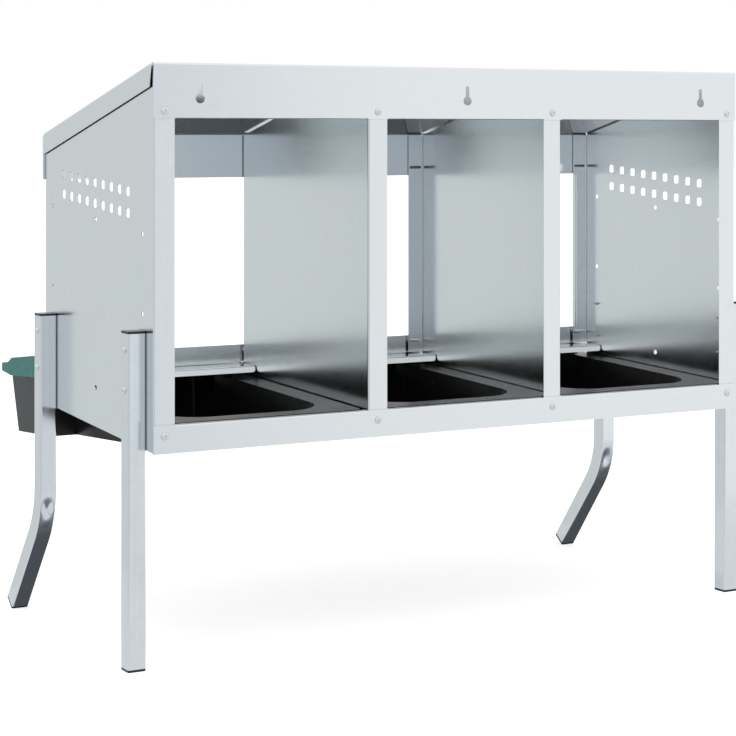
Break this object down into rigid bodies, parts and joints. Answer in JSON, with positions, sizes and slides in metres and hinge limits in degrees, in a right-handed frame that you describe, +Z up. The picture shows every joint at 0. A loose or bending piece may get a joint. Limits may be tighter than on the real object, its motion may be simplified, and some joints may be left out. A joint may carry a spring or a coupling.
{
  "type": "chicken nesting box",
  "caption": "Free-standing sheet-metal nesting box with a row of open nests, roll-out egg trays under hinged lids, a pitched roof with wall keyholes, and splayed tube legs.",
  "frame": {"origin": "on the floor, at the centre of the bounding box seen from above", "axes": "+X along the row of nests, to the right as seen from the wall side; +Y from the wall side to the egg troughs; +Z up"},
  "size_m": [0.9676, 0.5616, 0.7553],
  "materials": {
    "galvanised_sheet": "satin galvanised sheet",
    "leg_tube": "bright galvanised tube",
    "zinc_fasteners": "zinc plated",
    "plug_plastic": "black moulded",
    "tray_plastic": "black moulded, slight sheen",
    "lid_plastic": "dark green moulded, fine grain"
  },
  "bodies": {
    "box": {"roof": "galvanised_sheet", "left_side_panel": "galvanised_sheet", "right_side_panel": "galvanised_sheet", "left_divider": "galvanised_sheet", "right_divider": "galvanised_sheet", "rear_bottom_rail": "galvanised_sheet", "front_sill": "galvanised_sheet", "rear_left_leg": "leg_tube", "rear_right_leg": "leg_tube", "front_left_leg": "leg_tube", "front_right_leg": "leg_tube", "rear_left_leg_cap": "plug_plastic", "rear_right_leg_cap": "plug_plastic", "front_left_leg_cap": "plug_plastic", "front_right_leg_cap": "plug_plastic", "rear_left_foot": "plug_plastic", "rear_right_foot": "plug_plastic", "front_left_foot": "plug_plastic", "front_right_foot": "plug_plastic", "left_bay_left_runner": "galvanised_sheet", "left_bay_right_runner": "galvanised_sheet", "middle_bay_left_runner": "galvanised_sheet", "middle_bay_right_runner": "galvanised_sheet", "right_bay_left_runner": "galvanised_sheet", "right_bay_right_runner": "galvanised_sheet", "leg_screws": "zinc_fasteners", "rear_screws": "zinc_fasteners"},
    "tray_left": {"tray_left": "tray_plastic"},
    "tray_middle": {"tray_middle": "tray_plastic"},
    "tray_right": {"tray_right": "tray_plastic"},
    "lid_left": {"lid_left": "lid_plastic"},
    "lid_middle": {"lid_middle": "lid_plastic"},
    "lid_right": {"lid_right": "lid_plastic"}
  },
  "joints": [
    {"name": "tray_left_slide", "type": "slide", "parent": "box", "child": "tray_left", "axis": [0, 0.9994, 0.0356], "range_m": [0, 0.28]},
    {"name": "lid_left_hinge", "type": "hinge", "parent": "tray_left", "child": "lid_left", "pos_m": [-0.30417, 0.1218, 0.337], "axis": [1, 0, 0], "range_deg": [0, 98]},
    {"name": "tray_middle_slide", "type": "slide", "parent": "box", "child": "tray_middle", "axis": [0, 0.9994, 0.0356], "range_m": [0, 0.28]},
    {"name": "lid_middle_hinge", "type": "hinge", "parent": "tray_middle", "child": "lid_middle", "pos_m": [0, 0.1218, 0.337], "axis": [1, 0, 0], "range_deg": [0, 98]},
    {"name": "tray_right_slide", "type": "slide", "parent": "box", "child": "tray_right", "axis": [0, 0.9994, 0.0356], "range_m": [0, 0.28]},
    {"name": "lid_right_hinge", "type": "hinge", "parent": "tray_right", "child": "lid_right", "pos_m": [0.30417, 0.1218, 0.337], "axis": [1, 0, 0], "range_deg": [0, 98]}
  ]
}
